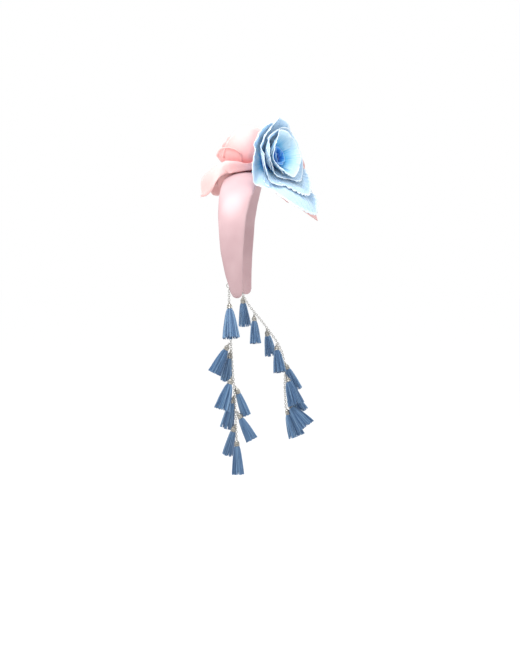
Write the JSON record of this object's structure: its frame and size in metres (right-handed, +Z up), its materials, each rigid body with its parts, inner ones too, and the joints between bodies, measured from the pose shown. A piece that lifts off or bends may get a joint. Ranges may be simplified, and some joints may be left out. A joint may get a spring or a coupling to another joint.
{
  "type": "flower headband",
  "caption": "Wide padded satin headband with large layered fabric flowers over the crown and a chain of small thread tassels hanging from each tip; worn on the head.",
  "frame": {"origin": "the seat: the middle of the band's inner face, where it rests on the crown of the head", "axes": "+Z up, -Y the way the wearer faces, +X the wearer's left"},
  "size_m": [0.187, 0.1638, 0.4684],
  "materials": {
    "satin": "pale pink satin over padding",
    "blue_fabric": "crinkled sheer sky blue cloth",
    "pink_fabric": "soft rose pink cloth",
    "thread": "steel blue silky thread",
    "silver": "bright silver-coloured plating"
  },
  "bodies": {
    "root": {"band": "satin", "blue_core": "blue_fabric", "blue_petals_1": "blue_fabric", "blue_petals_2": "blue_fabric", "blue_petals_3": "blue_fabric", "blue_petals_4": "blue_fabric", "blue_petals_5": "blue_fabric", "blue_petals_6": "blue_fabric", "crown_core": "pink_fabric", "crown_petals_1": "pink_fabric", "crown_petals_2": "pink_fabric", "crown_petals_3": "pink_fabric", "crown_petals_4": "pink_fabric", "crown_petals_5": "pink_fabric", "brow_core": "pink_fabric", "brow_petals_1": "pink_fabric", "brow_petals_2": "pink_fabric", "brow_petals_3": "pink_fabric", "brow_petals_4": "pink_fabric", "right_hanging_ring": "silver", "right_chain": "silver", "right_tassel_1_cap": "silver", "right_tassel_1_skirt": "thread", "right_tassel_2_cap": "silver", "right_tassel_2_skirt": "thread", "right_tassel_3_cap": "silver", "right_tassel_3_skirt": "thread", "right_tassel_4_cap": "silver", "right_tassel_4_skirt": "thread", "right_tassel_5_cap": "silver", "right_tassel_5_skirt": "thread", "right_tassel_6_cap": "silver", "right_tassel_6_skirt": "thread", "right_tassel_7_cap": "silver", "right_tassel_7_skirt": "thread", "right_tassel_8_cap": "silver", "right_tassel_8_skirt": "thread", "right_tassel_9_cap": "silver", "right_tassel_9_skirt": "thread", "left_hanging_ring": "silver", "left_chain": "silver", "left_tassel_1_cap": "silver", "left_tassel_1_skirt": "thread", "left_tassel_2_cap": "silver", "left_tassel_2_skirt": "thread", "left_tassel_3_cap": "silver", "left_tassel_3_skirt": "thread", "left_tassel_4_cap": "silver", "left_tassel_4_skirt": "thread", "left_tassel_5_cap": "silver", "left_tassel_5_skirt": "thread", "left_tassel_6_cap": "silver", "left_tassel_6_skirt": "thread", "left_tassel_7_cap": "silver", "left_tassel_7_skirt": "thread", "left_tassel_8_cap": "silver", "left_tassel_8_skirt": "thread", "left_tassel_9_cap": "silver", "left_tassel_9_skirt": "thread"}
  },
  "joints": []
}
